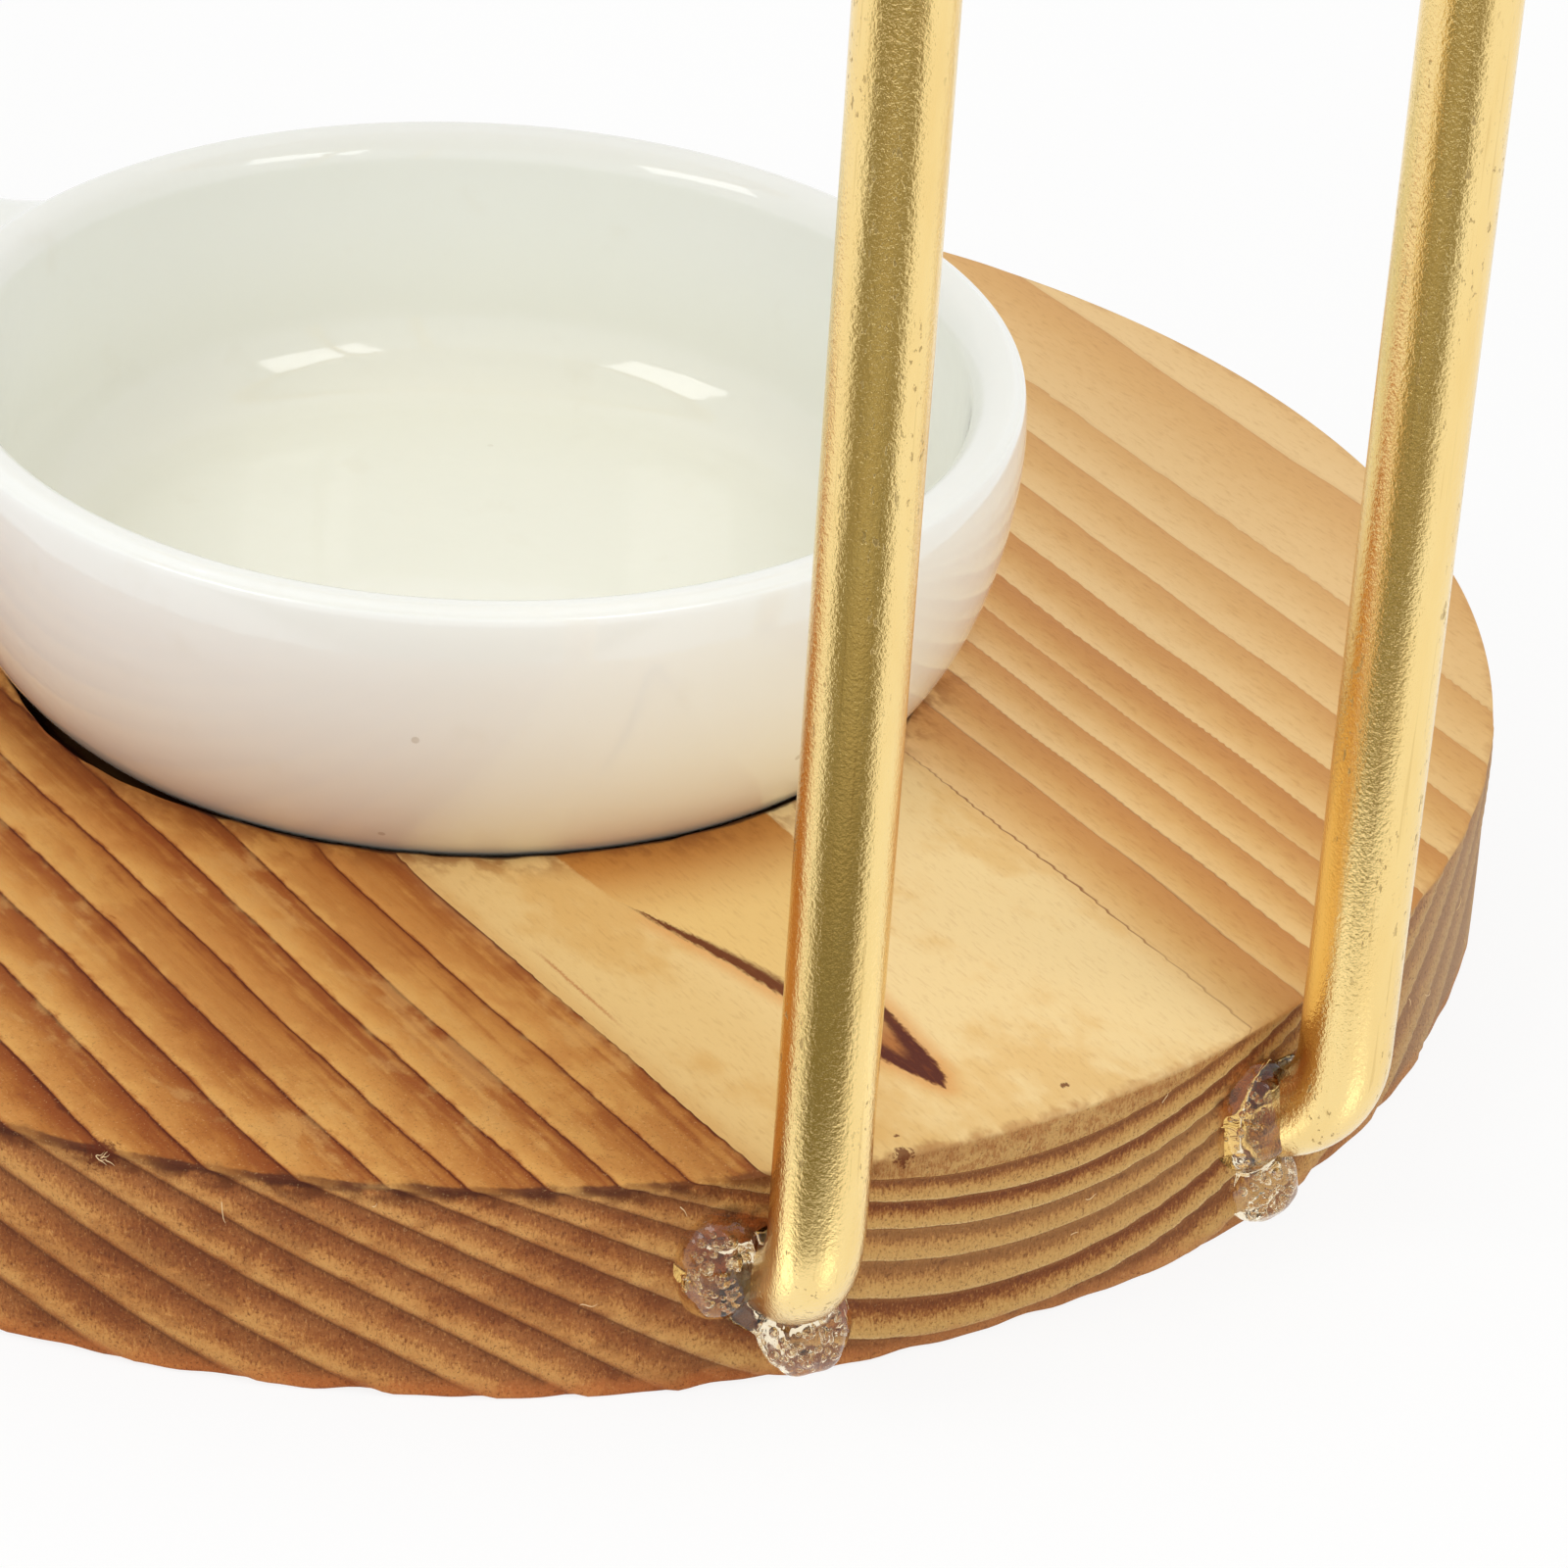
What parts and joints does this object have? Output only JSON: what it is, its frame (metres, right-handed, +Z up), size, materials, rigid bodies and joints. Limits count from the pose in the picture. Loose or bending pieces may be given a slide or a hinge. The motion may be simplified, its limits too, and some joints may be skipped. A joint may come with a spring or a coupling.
{
  "type": "tealight oil burner",
  "caption": "Tealight oil burner: scorched pine base, two gold wire uprights with a welded ring, glazed oil bowl and a glazed tealight cup with a lug handle.",
  "frame": {"origin": "centre of the wooden base's flat underside", "axes": "+Z up, +Y towards the back where the two wire uprights stand, +X to the right seen from the front; the cup's handle points to the front right"},
  "size_m": [0.1, 0.1035, 0.108],
  "materials": {
    "wood": "torched and brushed softwood, open grain, matt",
    "gold_wire": "polished gold-coloured plating with small pits",
    "glaze": "glossy ivory white glaze",
    "glue": "clear hot-melt glue full of small bubbles"
  },
  "bodies": {
    "stand": {"wooden_base": "wood", "upright_left": "gold_wire", "upright_right": "gold_wire", "bowl_ring": "gold_wire", "weld_bead_left": "gold_wire", "weld_bead_right": "gold_wire", "glue_bead_left": "glue", "glue_bead_right": "glue"},
    "tealight_cup": {"tealight_cup": "glaze"},
    "oil_bowl": {"oil_bowl": "glaze"}
  },
  "joints": [
    {"name": "cup_draws_out", "type": "slide", "parent": "stand", "child": "tealight_cup", "axis": [0.4757, -0.6669, 0.5736], "range_m": [0, 0.1]},
    {"name": "bowl_lifts_off", "type": "slide", "parent": "stand", "child": "oil_bowl", "axis": [0, 0, 1], "range_m": [0, 0.045]}
  ]
}
